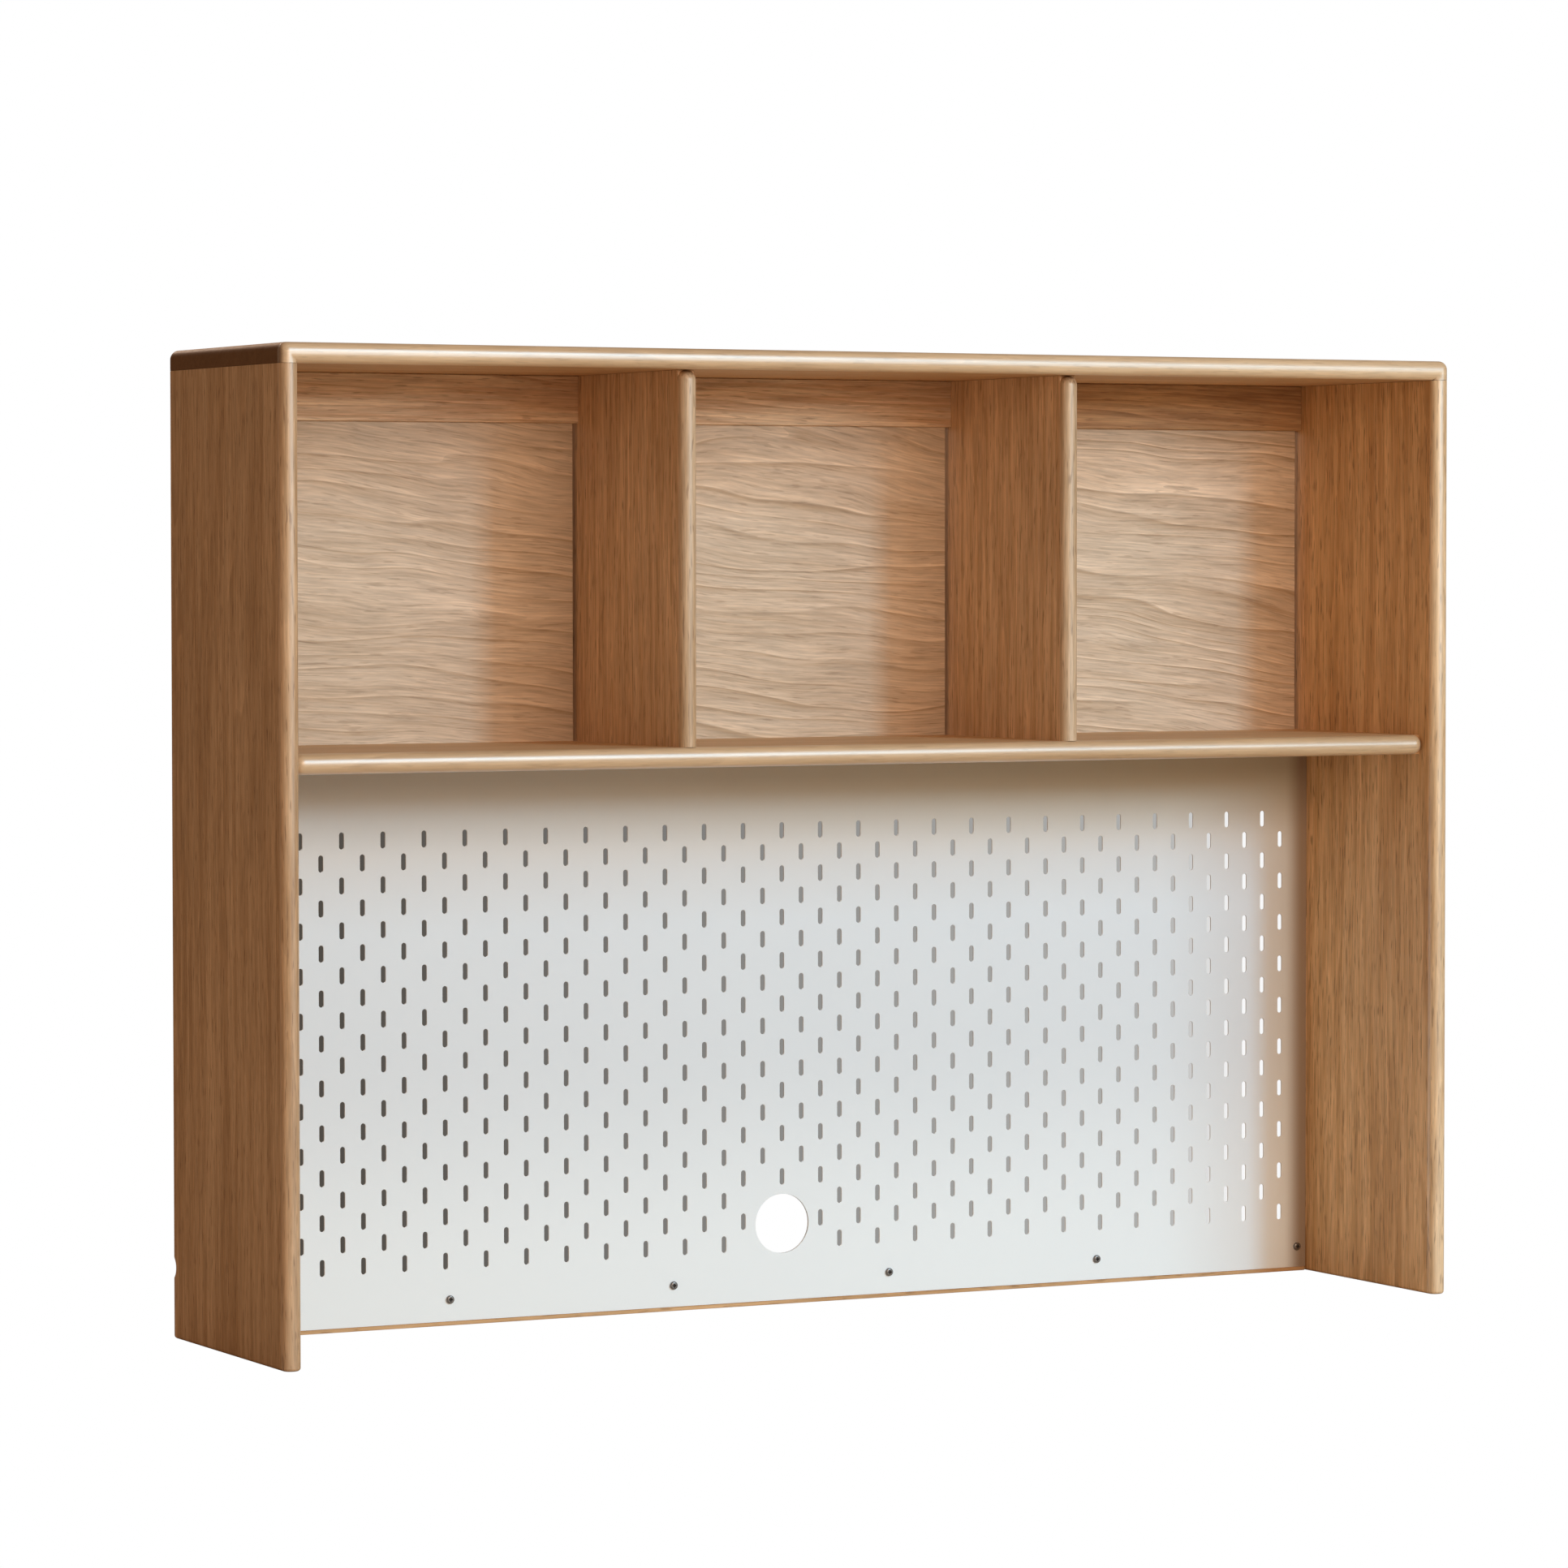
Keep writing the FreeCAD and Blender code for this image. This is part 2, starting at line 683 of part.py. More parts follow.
os.makedirs("parts", exist_ok=True)
for name, solid in side_panels.items():
    save(name + "_panel", cut_all(solid, cuts[name]))
save("top_panel", cut_all(top_panel, cuts["top"]))
save("main_shelf", cut_all(shelf, cuts["shelf"]))
for name, solid in divider_boards.items():
    save(name, cut_all(solid, cuts[name]))
for bay, low_x, high_x in bays:
    save(bay + "_back_rail", cut_all(back_rails[bay], cuts[bay + "_back_rail"]))
    save(bay + "_back_panel", back_panels[bay])
for name, solid in batten_boards.items():
    save(name, cut_all(solid, cuts[name]))
save("pegboard", pegboard())
save("pegboard_screws", *pegboard_screws)
save("top_dowels", *top_dowels)
save("back_rail_dowels", *back_rail_dowels)
save("shelf_dowels", *shelf_dowels)
save("shelf_cam_bolts", *shelf_cam_bolts)
save("shelf_cams", *shelf_cams)
save("cam_caps", *cam_caps)
save("batten_dowels", *batten_dowels)
save("batten_cam_bolts", *batten_cam_bolts)
save("batten_cams", *batten_cams)
save("divider_foot_dowels", *divider_foot_dowels)
save("divider_screws", *divider_screws)
save("foot_inserts", *foot_inserts)
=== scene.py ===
import math

import bmesh
import bpy
from mathutils import Euler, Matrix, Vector


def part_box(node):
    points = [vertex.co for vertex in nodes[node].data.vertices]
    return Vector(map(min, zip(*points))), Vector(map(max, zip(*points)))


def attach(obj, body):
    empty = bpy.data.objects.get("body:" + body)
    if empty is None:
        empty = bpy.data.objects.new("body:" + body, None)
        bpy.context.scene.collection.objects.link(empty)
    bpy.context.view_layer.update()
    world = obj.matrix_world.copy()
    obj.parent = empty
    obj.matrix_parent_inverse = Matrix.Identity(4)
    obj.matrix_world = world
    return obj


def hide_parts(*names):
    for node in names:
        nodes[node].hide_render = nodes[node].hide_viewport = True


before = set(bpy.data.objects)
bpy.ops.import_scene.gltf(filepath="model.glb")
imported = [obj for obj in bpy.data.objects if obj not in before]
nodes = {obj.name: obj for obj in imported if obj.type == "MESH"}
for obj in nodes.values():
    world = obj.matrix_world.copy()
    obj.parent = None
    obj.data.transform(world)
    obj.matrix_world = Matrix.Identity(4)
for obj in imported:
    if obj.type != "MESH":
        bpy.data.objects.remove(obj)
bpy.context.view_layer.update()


# ---------------------------------------------------------------------------------------------------------
# The case: two sides and a top of lacquered ash board, moulded all round the front as one frame and then
# parted under the top, so that the round front edge runs up one side, mitres at the corner and goes across.
# The sides stand on the desk on eased feet, and each has a half-round cable notch low in its rear edge.

MM = 0.001
ALONG_X = Vector((1, 0, 0))
ALONG_Y = Vector((0, 1, 0))
ALONG_Z = Vector((0, 0, 1))

side_low, side_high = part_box("right_side_panel")
top_low, top_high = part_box("top_panel")
half_width = top_high.x
inner_half = side_low.x
front = top_low.y
rear = top_high.y
case_top = top_high.z
joint_height = side_high.z

case_round = 8 * MM
rear_arris = 1.5 * MM
foot_ease = 3 * MM
top_joint_gap = 0.25 * MM
notch_radius = 11 * MM
notch_height = 63 * MM
notch_bar_length = 60 * MM
notch_bar_offset = 5 * MM
moulding_steps = 10
arris_steps = 3
foot_steps = 4
notch_steps = 40
same_place = 1e-6
sharp_angle = math.radians(35)


def new_tree(name, kind):
    """An empty node tree of a material or of a group."""
    if kind == "material":
        material = bpy.data.materials.new(name)
        material.use_nodes = True
        material.node_tree.nodes.clear()
        return material, material.node_tree
    group = bpy.data.node_groups.new(name, "ShaderNodeTree")
    return group, group


def feed(tree, socket, value):
    """Links an output to the socket, or sets the socket to a constant."""
    if isinstance(value, bpy.types.NodeSocket):
        tree.links.new(value, socket)
    else:
        socket.default_value = value


def node(tree, kind, **inputs):
    """A node whose named inputs get values or links."""
    made = tree.nodes.new(kind)
    for key, value in inputs.items():
        feed(tree, made.inputs[key.replace("_", " ")], value)
    return made


def math_node(tree, operation, *values, clamp=False):
    """One sum on two or three numbers."""
    made = tree.nodes.new("ShaderNodeMath")
    made.operation = operation
    made.use_clamp = clamp
    for index, value in enumerate(values):
        feed(tree, made.inputs[index], value)
    return made.outputs[0]


def vector_node(tree, operation, *values):
    """One sum on vectors; the scale of a SCALE comes second."""
    made = tree.nodes.new("ShaderNodeVectorMath")
    made.operation = operation
    for index, value in enumerate(values):
        is_scale = operation == "SCALE" and index == 1
        feed(tree, made.inputs["Scale" if is_scale else index], value)
    return made.outputs["Value"] if operation == "DOT_PRODUCT" else made.outputs["Vector"]


def mix_colour(tree, factor, first, second, blend="MIX"):
    """The first colour, mixed or multiplied with the second by factor."""
    made = tree.nodes.new("ShaderNodeMix")
    made.data_type = "RGBA"
    made.blend_type = blend
    for name, value in (("Factor_Float", factor), ("A_Color", first), ("B_Color", second)):
        feed(tree, next(s for s in made.inputs if s.identifier == name), value)
    return next(s for s in made.outputs if s.identifier == "Result_Color")


def ramp(tree, value, low, high):
    """0 below low, 1 above high and smooth between."""
    made = tree.nodes.new("ShaderNodeMapRange")
    made.interpolation_type = "SMOOTHSTEP"
    tree.links.new(value, made.inputs["Value"])
    made.inputs["From Min"].default_value = low
    made.inputs["From Max"].default_value = high
    return made.outputs["Result"]


def noise(tree, place, scale, detail=2.0, roughness=0.5):
    """Cloudy noise from 0 to 1, with scale clouds to the metre."""
    made = node(tree, "ShaderNodeTexNoise", Vector=place, Scale=scale, Detail=detail, Roughness=roughness)
    return made.outputs["Fac"]


def own_place(tree):
    """Where a point lies on the object, in metres."""
    return tree.nodes.new("ShaderNodeTexCoord").outputs["Object"]


def level_on(tree, place, axis):
    """One of a place's three coordinates."""
    return node(tree, "ShaderNodeSeparateXYZ", Vector=place).outputs[axis]


def show(tree, shader):
    """Sends a shader to the material's surface."""
    tree.links.new(shader, tree.nodes.new("ShaderNodeOutputMaterial").inputs["Surface"])


def paint(tree, **inputs):
    """The one layered surface of a painted, lacquered or plated material."""
    show(tree, node(tree, "ShaderNodeBsdfPrincipled", **inputs).outputs["BSDF"])


def wood_figure():
    """Grain of a board: growth lines, soft streaks, fibres, open pores and darker end grain."""
    group, tree = new_tree("wood figure", "group")
    wanted = (
        ("Position", "NodeSocketVector", None),
        ("Board Offset", "NodeSocketVector", None),
        ("Grain Axis", "NodeSocketVector", None),
        ("Across Axis", "NodeSocketVector", None),
        ("Pale Wood", "NodeSocketColor", None),
        ("Dark Wood", "NodeSocketColor", None),
        ("Pore Colour", "NodeSocketColor", None),
        ("Line Spacing", "NodeSocketFloat", 0.014),
        ("Line Strength", "NodeSocketFloat", 0.5),
        ("Wander", "NodeSocketFloat", 0.01),
        ("Lean", "NodeSocketFloat", 0.0),
        ("Streak Strength", "NodeSocketFloat", 0.5),
        ("Fibre Strength", "NodeSocketFloat", 0.5),
        ("Pore Strength", "NodeSocketFloat", 0.5),
        ("End Darkening", "NodeSocketFloat", 0.6),
    )
    for name, kind, value in wanted:
        socket = group.interface.new_socket(name, in_out="INPUT", socket_type=kind)
        if value is not None:
            socket.default_value = value
    group.interface.new_socket("Color", in_out="OUTPUT", socket_type="NodeSocketColor")
    group.interface.new_socket("Roughness", in_out="OUTPUT", socket_type="NodeSocketFloat")
    group.interface.new_socket("Height", in_out="OUTPUT", socket_type="NodeSocketFloat")
    given = tree.nodes.new("NodeGroupInput").outputs
    result = tree.nodes.new("NodeGroupOutput").inputs

    moved = vector_node(tree, "ADD", given["Position"], given["Board Offset"])
    along = vector_node(tree, "DOT_PRODUCT", moved, given["Grain Axis"])

    def stretched(place, share):
        """The place, cut to a share of its length along the grain, so that patterns stretch that way."""
        shortened = math_node(tree, "MULTIPLY", along, share - 1.0)
        return vector_node(tree, "ADD", place, vector_node(tree, "SCALE", given["Grain Axis"], shortened))

    drift = math_node(tree, "SUBTRACT", noise(tree, stretched(moved, 0.42), 5.2, 2.5, 0.55), 0.5)
    sideways = math_node(tree, "MULTIPLY", drift, given["Wander"])
    leaning = math_node(tree, "MULTIPLY", along, given["Lean"])
    shift = math_node(tree, "ADD", sideways, leaning)
    bent = vector_node(tree, "ADD", moved, vector_node(tree, "SCALE", given["Across Axis"], shift))

    streak = noise(tree, stretched(bent, 0.045), 120.0, 5.0, 0.7)
    broad = noise(tree, stretched(bent, 0.12), 15.0, 2.0, 0.5)
    fibre = noise(tree, stretched(bent, 0.05), 480.0, 3.0, 0.65)
    pore = noise(tree, stretched(bent, 0.085), 560.0, 1.0, 0.5)
    mottle = noise(tree, stretched(moved, 0.5), 11.0, 3.0, 0.6)

    across = vector_node(tree, "DOT_PRODUCT", bent, given["Across Axis"])
    loose = math_node(tree, "MULTIPLY", broad, 6.0)
    count = math_node(tree, "ADD", math_node(tree, "DIVIDE", across, given["Line Spacing"]), loose)
    ring = math_node(tree, "FRACT", count)
    after = math_node(tree, "SUBTRACT", 1.0, ring)
    rise = math_node(tree, "POWER", ring, 7.0)
    fall = ramp(tree, after, 0.0, 0.06)
    broken = ramp(tree, noise(tree, stretched(bent, 0.07), 42.0, 3.0, 0.6), 0.32, 0.6)
    line = math_node(tree, "MULTIPLY", math_node(tree, "MULTIPLY", rise, fall), broken)
    line = math_node(tree, "MULTIPLY", line, given["Line Strength"])
    shine = math_node(tree, "MULTIPLY", math_node(tree, "POWER", after, 8.0), broken)
    shine = math_node(tree, "MULTIPLY", shine, given["Line Strength"])

    soft = math_node(tree, "MULTIPLY", ramp(tree, streak, 0.3, 0.72), given["Streak Strength"])
    wide = math_node(tree, "MULTIPLY", ramp(tree, broad, 0.3, 0.7), 0.3)
    darkness = math_node(tree, "ADD", math_node(tree, "ADD", soft, wide), line, clamp=True)
    colour = mix_colour(tree, darkness, given["Pale Wood"], given["Dark Wood"])
    fibre_tone = math_node(tree, "MULTIPLY_ADD", fibre, given["Fibre Strength"], 1.0)
    fibre_tone = math_node(tree, "MULTIPLY_ADD", given["Fibre Strength"], -0.5, fibre_tone)
    mottle_tone = math_node(tree, "MULTIPLY_ADD", mottle, 0.24, 0.88)
    tone = math_node(tree, "MULTIPLY", fibre_tone, mottle_tone)
    tone = math_node(tree, "MULTIPLY", tone, math_node(tree, "MULTIPLY_ADD", shine, 0.3, 1.0))
    pore_mask = math_node(tree, "MULTIPLY", ramp(tree, pore, 0.60, 0.72), given["Pore Strength"])
    colour = mix_colour(tree, pore_mask, colour, given["Pore Colour"])

    facing = tree.nodes.new("ShaderNodeNewGeometry").outputs["Normal"]
    end_on = vector_node(tree, "DOT_PRODUCT", facing, given["Grain Axis"])
    end_mask = ramp(tree, math_node(tree, "ABSOLUTE", end_on), 0.55, 0.95)
    end_mask = math_node(tree, "MULTIPLY", end_mask, given["End Darkening"])
    colour = mix_colour(tree, end_mask, colour, given["Pore Colour"])
    shade = vector_node(tree, "SCALE", (1.0, 1.0, 1.0), tone)
    tree.links.new(mix_colour(tree, 1.0, colour, shade, "MULTIPLY"), result["Color"])

    gloss = math_node(tree, "MULTIPLY_ADD", pore_mask, 0.2, 0.50)
    gloss = math_node(tree, "ADD", gloss, math_node(tree, "MULTIPLY", end_mask, 0.2))
    gloss = math_node(tree, "ADD", gloss, math_node(tree, "MULTIPLY", streak, 0.1))
    tree.links.new(gloss, result["Roughness"])
    sunk = math_node(tree, "MULTIPLY", pore_mask, -0.7)
    sunk = math_node(tree, "ADD", sunk, math_node(tree, "MULTIPLY", line, -0.3))
    sunk = math_node(tree, "ADD", sunk, math_node(tree, "MULTIPLY", fibre, 0.25))
    tree.links.new(sunk, result["Height"])
    return group


figure = wood_figure()
flat_polish = 0.04
nose_fade = 1.5 * MM


def wood(name, grain, across, pale, dark, pores, offset, nose=None, **amounts):
    """A lacquered board's material: its own stretch of the figure, matt on the flats. A nose, given as its
    rear limit, its shine and its tone, is rubbed smoother, and its tone is painted light: a painted
    highlight, or painted shade where it is below one."""
    material, tree = new_tree(name, "material")
    place = own_place(tree)
    board = tree.nodes.new("ShaderNodeGroup")
    board.node_tree = figure
    tree.links.new(place, board.inputs["Position"])
    board.inputs["Board Offset"].default_value = offset
    board.inputs["Grain Axis"].default_value = grain
    board.inputs["Across Axis"].default_value = across
    board.inputs["Pale Wood"].default_value = (*pale, 1.0)
    board.inputs["Dark Wood"].default_value = (*dark, 1.0)
    board.inputs["Pore Colour"].default_value = (*pores, 1.0)
    for key, value in amounts.items():
        board.inputs[key.replace("_", " ").title()].default_value = value
    colour = board.outputs["Color"]
    polish = flat_polish
    if nose:
        nose_back, shine, tone = nose
        behind = ramp(tree, level_on(tree, place, "Y"), nose_back - nose_fade, nose_back + nose_fade)
        polish = math_node(tree, "MULTIPLY_ADD", behind, flat_polish - shine, shine)
        # Painted light: the nose's tone is multiplied in, a cool painted highlight, or painted shade where it
        # is below one.
        painted_nose_light = mix_colour(tree, behind, (*tone, 1.0), (1.0, 1.0, 1.0, 1.0))
        colour = mix_colour(tree, 1.0, colour, painted_nose_light, "MULTIPLY")
    bump = node(tree, "ShaderNodeBump", Strength=0.35, Distance=0.0004, Height=board.outputs["Height"])
    paint(
        tree, Base_Color=colour, Roughness=board.outputs["Roughness"], Normal=bump.outputs["Normal"],
        Coat_Weight=polish, Coat_Roughness=0.35, Coat_IOR=2.0, Specular_IOR_Level=0.2,
    )
    return material


def add_object(name, data):
    """An object in the scene that holds the mesh, curve, lamp or camera."""
    made = bpy.data.objects.new(name, data)
    bpy.context.scene.collection.objects.link(made)
    return made


def settle(mesh, name, material, replaced):
    """Puts a finished mesh in the scene as a piece that stands for its CAD node."""
    mesh.name = name
    mesh.polygons.foreach_set("use_smooth", [True] * len(mesh.polygons))
    mesh.set_sharp_from_angle(angle=sharp_angle)
    mesh.materials.clear()
    mesh.materials.append(material)
    piece = add_object(name, mesh)
    flat = piece.modifiers.new("flat faces stay flat", "WEIGHTED_NORMAL")
    flat.keep_sharp = True
    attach(piece, "root")
    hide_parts(replaced)
    return piece


def mesh_of(form, name):
    """The mesh that a bmesh form leaves."""
    bmesh.ops.recalc_face_normals(form, faces=form.faces)
    mesh = bpy.data.meshes.new(name)
    form.to_mesh(mesh)
    form.free()
    return mesh


def edges_where(form, test):
    """Edges whose two ends both pass the test."""
    return [edge for edge in form.edges if all(test(vert.co) for vert in edge.verts)]


def near(first, second):
    """Whether two levels are the same."""
    return abs(first - second) < same_place


def round_over(form, edges, radius, steps):
    """Rounds the edges to the radius."""
    bmesh.ops.bevel(
        form, geom=edges, offset=radius, offset_type="OFFSET", segments=steps, profile=0.5,
        affect="EDGES", clamp_overlap=False, loop_slide=True,
    )


def case_frame():
    """The whole frame, an upturned U, with its mouldings."""
    form = bmesh.new()
    outline = (
        (-half_width, 0), (-half_width, case_top), (half_width, case_top), (half_width, 0),
        (inner_half, 0), (inner_half, joint_height), (-inner_half, joint_height), (-inner_half, 0),
    )
    verts = [form.verts.new((x, front, z)) for x, z in outline]
    face = form.faces.new(verts)
    grown = bmesh.ops.extrude_face_region(form, geom=[face])
    moved = [item for item in grown["geom"] if isinstance(item, bmesh.types.BMVert)]
    bmesh.ops.translate(form, verts=moved, vec=(0, rear - front, 0))

    def moulded(edge):
        """An edge of the front, or of the outside all round."""
        first, second = (vert.co for vert in edge.verts)
        if near(first.z, 0) and near(second.z, 0):
            return False
        if near(first.y, front) and near(second.y, front):
            return True
        outer = all(near(abs(p.x), half_width) or near(p.z, case_top) for p in (first, second))
        return outer and not (near(abs(first.x), inner_half) or near(abs(second.x), inner_half))

    def rear_inner(edge):
        """An edge of the rear opening."""
        inside = all(
            near(vert.co.y, rear)
            and abs(vert.co.x) <= inner_half + same_place
            and vert.co.z <= joint_height + same_place
            for vert in edge.verts
        )
        return inside and not all(near(vert.co.z, 0) for vert in edge.verts)

    round_over(form, [edge for edge in form.edges if moulded(edge)], case_round, moulding_steps)
    round_over(form, [edge for edge in form.edges if rear_inner(edge)], rear_arris, arris_steps)
    return form


def part_of_frame(keep_above):
    """The frame above or below the joint under the top."""
    form = case_frame()
    level = joint_height + (top_joint_gap if keep_above else 0)
    cut = bmesh.ops.bisect_plane(
        form, geom=form.verts[:] + form.edges[:] + form.faces[:], plane_co=(0, 0, level),
        plane_no=ALONG_Z, clear_inner=keep_above, clear_outer=not keep_above,
    )
    rim = [item for item in cut["geom_cut"] if isinstance(item, bmesh.types.BMEdge)]
    bmesh.ops.holes_fill(form, edges=rim, sides=0)
    return form


def notch_cutter(sign):
    """A round bar across the rear edge of a side, low down."""
    form = bmesh.new()
    made = bmesh.ops.create_cone(
        form, cap_ends=True, segments=notch_steps, radius1=notch_radius, radius2=notch_radius,
        depth=notch_bar_length,
    )
    bmesh.ops.rotate(form, verts=made["verts"], matrix=Euler((0, math.radians(90), 0)).to_matrix())
    centre = (sign * (inner_half + notch_bar_offset), rear, notch_height)
    bmesh.ops.translate(form, verts=made["verts"], vec=centre)
    return add_object("notch cutter", mesh_of(form, "notch cutter"))


def cut_with(mesh, cutter):
    """The mesh with the cutter's shape taken away; the cutter is removed."""
    blank = add_object("blank", mesh)
    cut = blank.modifiers.new("cut", "BOOLEAN")
    cut.operation = "DIFFERENCE"
    cut.solver = "EXACT"
    cut.object = cutter
    bpy.context.view_layer.update()
    seen = blank.evaluated_get(bpy.context.evaluated_depsgraph_get())
    result = bpy.data.meshes.new_from_object(seen)
    for spent in (blank, cutter):
        bpy.data.objects.remove(spent)
    return result


case_pale = (0.70, 0.45, 0.245)
case_dark = (0.47, 0.262, 0.118)
case_pores = (0.21, 0.105, 0.048)

# Each side: which way it lies, its pale and dark wood, its stretch of the figure, its nose's shine and tone.
# Painted light: the left side's wood is darkened as painted shade, the right side's lightened against its
# shade, and the right nose's tone is a painted highlight.
sides = (
    (
        "left_side_panel", -1, (0.65, 0.43, 0.255), (0.43, 0.25, 0.123), (3.1, 0.4, 1.7),
        0.6, (0.98, 0.99, 1.0),
    ),
    (
        "right_side_panel", 1, (0.88, 0.57, 0.30), (0.60, 0.335, 0.145), (7.3, 2.2, 5.1),
        1.0, (1.03, 1.17, 1.40),
    ),
)
for name, sign, pale, dark, offset, shine, tone in sides:
    form = part_of_frame(keep_above=False)
    other = [vert for vert in form.verts if vert.co.x * sign < 0]
    bmesh.ops.delete(form, geom=other, context="VERTS")
    feet = edges_where(form, lambda p: near(p.z, 0))
    round_over(form, feet, foot_ease, foot_steps)
    mesh = cut_with(mesh_of(form, name), notch_cutter(sign))
    material = wood(
        name.replace("_", " ") + " wood", ALONG_Z, ALONG_Y, pale, dark, case_pores, offset,
        nose=(front + case_round, shine, tone), wander=0.012, line_spacing=0.03, line_strength=0.45,
        streak_strength=0.9, fibre_strength=1.0, pore_strength=0.6,
    )
    settle(mesh, "carrel_" + name, material, name)

# The top's nose tone is a painted highlight, a cool whitening.
top_wood = wood(
    "top wood", ALONG_X, ALONG_Y, case_pale, case_dark, (0.10, 0.036, 0.004), (0.9, 4.2, 2.6),
    nose=(front + case_round, 1.0, (1.05, 1.16, 1.32)), wander=0.02, line_spacing=0.03, line_strength=0.3,
    streak_strength=0.45, pore_strength=0.2, end_darkening=0.9,
)
settle(mesh_of(part_of_frame(keep_above=True), "top"), "carrel_top_panel", top_wood, "top_panel")


# ---------------------------------------------------------------------------------------------------------
# The main shelf: one solid board right across, pinned between the sides. Its nose is round, and turns back
# at both ends just before it meets the sides, so each end looks like a ball.

shelf_low, shelf_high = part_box("main_shelf")
shelf_nose = 8.5 * MM
shelf_turn = 10 * MM
nose_steps = 9
turn_steps = 14


def nosed_board(place, length, depth, thickness, nose, turn, turned_ends):
    """A board with a round nose, as a bmesh. place(u, v, w) gives the point at u along the nose, v back from
    it and w off its middle plane. A turned end's nose goes a quarter turn back to the board beside it."""
    form = bmesh.new()
    half = thickness / 2
    section = []
    for side in (-1, 1):
        for step in range(nose_steps + 1):
            angle = math.radians(90) * (step / nose_steps if side > 0 else 1 - step / nose_steps)
            reach = turn - nose + nose * math.cos(angle)
            section.append((reach, side * (half - nose + nose * math.sin(angle))))
    stations = []
    for end, turned in enumerate(turned_ends):
        middle = (turn, length - turn)[end] if turned else (0, length)[end]
        angles = [0]
        if turned:
            angles = [math.radians(90) * step / turn_steps for step in range(turn_steps + 1)]
            angles = [-angle for angle in reversed(angles)] if end == 0 else angles
        stations += [(middle, angle) for angle in angles]
    grid = []
    for middle, angle in stations:
        row = []
        for reach, off in section:
            u = middle + reach * math.sin(angle)
            v = turn - reach * math.cos(angle)
            row.append(form.verts.new(place(u, v, off)))
        grid.append(row)
    for row, following in zip(grid, grid[1:]):
        for index in range(len(section) - 1):
            form.faces.new((row[index], row[index + 1], following[index + 1], following[index]))
    rear_corners = {}
    shoulders = {}
    for end in (0, 1):
        for side in (-1, 1):
            u = (0, length)[end]
            rear_corners[end, side] = form.verts.new(place(u, depth, side * half))
            if turned_ends[end]:
                shoulders[end, side] = form.verts.new(place(u, turn, side * half))
    for side, index in ((-1, 0), (1, -1)):
        face = [row[index] for row in grid]
        face += [shoulders[1, side]] if turned_ends[1] else []
        face += [rear_corners[1, side], rear_corners[0, side]]
        face += [shoulders[0, side]] if turned_ends[0] else []
        form.faces.new(face)
    for end, row in ((0, grid[0]), (1, grid[-1])):
        if turned_ends[end]:
            form.faces.new(row + [shoulders[end, 1], shoulders[end, -1]])
            form.faces.new([shoulders[end, s] for s in (-1, 1)] + [rear_corners[end, s] for s in (1, -1)])
        else:
            form.faces.new(row + [rear_corners[end, 1], rear_corners[end, -1]])
    form.faces.new([rear_corners[0, -1], rear_corners[1, -1], rear_corners[1, 1], rear_corners[0, 1]])
    return form


shelf_middle = (shelf_low.z + shelf_high.z) / 2
shelf_form = nosed_board(
    lambda u, v, w: (shelf_low.x + u, shelf_low.y + v, shelf_middle + w),
    shelf_high.x - shelf_low.x, shelf_high.y - shelf_low.y, shelf_high.z - shelf_low.z,
    shelf_nose, shelf_turn, (True, True),
)
# The shelf's nose tone is a painted highlight, a cool whitening.
shelf_wood = wood(
    "shelf wood", ALONG_X, ALONG_Y, case_pale, case_dark, case_pores, (5.5, 1.2, 8.4),
    nose=(shelf_low.y + shelf_nose, 1.0, (0.98, 1.07, 1.20)), wander=0.02, line_spacing=0.03,
    line_strength=0.3, streak_strength=0.45, pore_strength=0.2,
)
settle(mesh_of(shelf_form, "shelf"), "carrel_main_shelf", shelf_wood, "main_shelf")


# ---------------------------------------------------------------------------------------------------------
# The two dividers: upright boards between the shelf and the top, screwed from below and dowelled above.
# Each nose turns back at its head just under the top, and stands square on the shelf.

divider_nose = 7.5 * MM
divider_turn = 9 * MM

for name, offset in (("left_divider", (1.3, 6.2, 0.8)), ("right_divider", (9.4, 3.3, 4.4))):
    low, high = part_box(name)
    middle = (low.x + high.x) / 2
    form = nosed_board(
        lambda u, v, w: (middle + w, low.y + v, shelf_high.z + u),
        joint_height - shelf_high.z, high.y - low.y, high.x - low.x,
        divider_nose, divider_turn, (False, True),
    )
    # Painted light: the dividers' wood is paler than the case's to lift the shade on their faces, and the
    # nose tone darkens it as painted shade.
    material = wood(
        name.replace("_", " ") + " wood", ALONG_Z, ALONG_Y, (0.86, 0.60, 0.385), (0.60, 0.375, 0.205),
        case_pores, offset, nose=(low.y + divider_nose, 0.4, (0.76, 0.79, 0.82)), wander=0.012,
        line_spacing=0.028, line_strength=0.45, streak_strength=0.9, fibre_strength=1.0, pore_strength=0.5,
    )
    settle(mesh_of(form, name), "carrel_" + name, material, name)


# ---------------------------------------------------------------------------------------------------------
# The back rails: one across each bay, hard under the top and flush with the dividers' rear edges. They are
# boards with the grain running across, dowelled up into the top and eased along every arris, their tone
# painted
# light: the left and centre ones lightened against the shade under the top, the right one darker and redder.

board_ease = 0.8 * MM


def eased_block(low, high):
    """A sawn board with every arris eased, as a bmesh."""
    form = bmesh.new()
    made = bmesh.ops.create_cube(form, size=1)
    for vert in made["verts"]:
        vert.co = Vector([(high if c > 0 else low)[axis] for axis, c in enumerate(vert.co)])
    round_over(form, form.edges[:], board_ease, arris_steps)
    return form


bay_names = ("left", "centre", "right")
